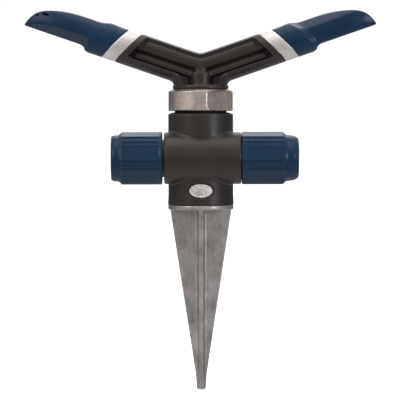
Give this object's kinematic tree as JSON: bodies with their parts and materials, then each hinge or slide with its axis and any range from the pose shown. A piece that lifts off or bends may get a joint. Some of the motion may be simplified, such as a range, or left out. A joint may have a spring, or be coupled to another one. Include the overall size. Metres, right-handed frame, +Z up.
{
  "type": "rotary lawn sprinkler",
  "caption": "Rotary lawn sprinkler on a metal ground spike: two rising arms with spray nozzles on a free-turning stem, swivel hose collar and capped series outlet.",
  "frame": {"origin": "on the rotor's axis, at the underside of the spike's flange, which is the ground line when the spike is pushed in", "axes": "+Z up along the rotor's axis, +X along the hose line from the inlet collar to the outlet cap, -Y towards the side on which the hose barrel stands proud"},
  "size_m": [0.2402, 0.0501, 0.2605],
  "materials": {
    "zinc": "as cast, mottled grey",
    "nut_metal": "tumbled casting, satin",
    "black_plastic": "satin",
    "blue_plastic": "satin",
    "band_metal": "brushed around",
    "screen_metal": "woven",
    "brass": "turned",
    "acetal": "satin",
    "rubber": "matt"
  },
  "bodies": {
    "housing": {"ground_spike": "zinc", "body": "black_plastic", "inlet_tailpiece": "black_plastic", "tailpiece_o_ring": "rubber", "bearing_nut": "nut_metal", "nut_gasket": "rubber", "stem_seal": "rubber", "lower_thrust_washer": "acetal", "upper_thrust_washer": "acetal", "bearing_sleeve": "acetal"},
    "rotor": {"rotor_stem": "brass", "rotor_arms": "black_plastic", "band_left": "band_metal", "band_right": "band_metal", "nozzle_left": "blue_plastic", "nozzle_right": "blue_plastic", "nozzle_o_ring_left": "rubber", "nozzle_o_ring_right": "rubber"},
    "inlet_collar": {"inlet_coupling": "blue_plastic", "inlet_washer": "rubber", "inlet_strainer": "screen_metal"},
    "cap_seal": {"cap_washer": "rubber"},
    "cap": {"outlet_cap": "blue_plastic"}
  },
  "joints": [
    {"name": "rotor_spin", "type": "hinge", "parent": "housing", "child": "rotor", "pos_m": [0, 0, 0.0823], "axis": [0, 0, 1], "continuous": true},
    {"name": "inlet_swivel", "type": "hinge", "parent": "housing", "child": "inlet_collar", "pos_m": [-0.0438, -0.0097, 0.035], "axis": [1, 0, 0], "continuous": true},
    {"name": "cap_travel", "type": "slide", "parent": "housing", "child": "cap_seal", "axis": [1, 0, 0], "range_m": [0, 0.0177]},
    {"name": "cap_turn", "type": "hinge", "parent": "cap_seal", "child": "cap", "pos_m": [0.045, -0.0097, 0.035], "axis": [1, 0, 0], "range_deg": [0, 2880]}
  ],
  "couplings": [
    {"joint": "cap_travel", "follows": "cap_turn", "m_per_rad": 0.00035157}
  ]
}
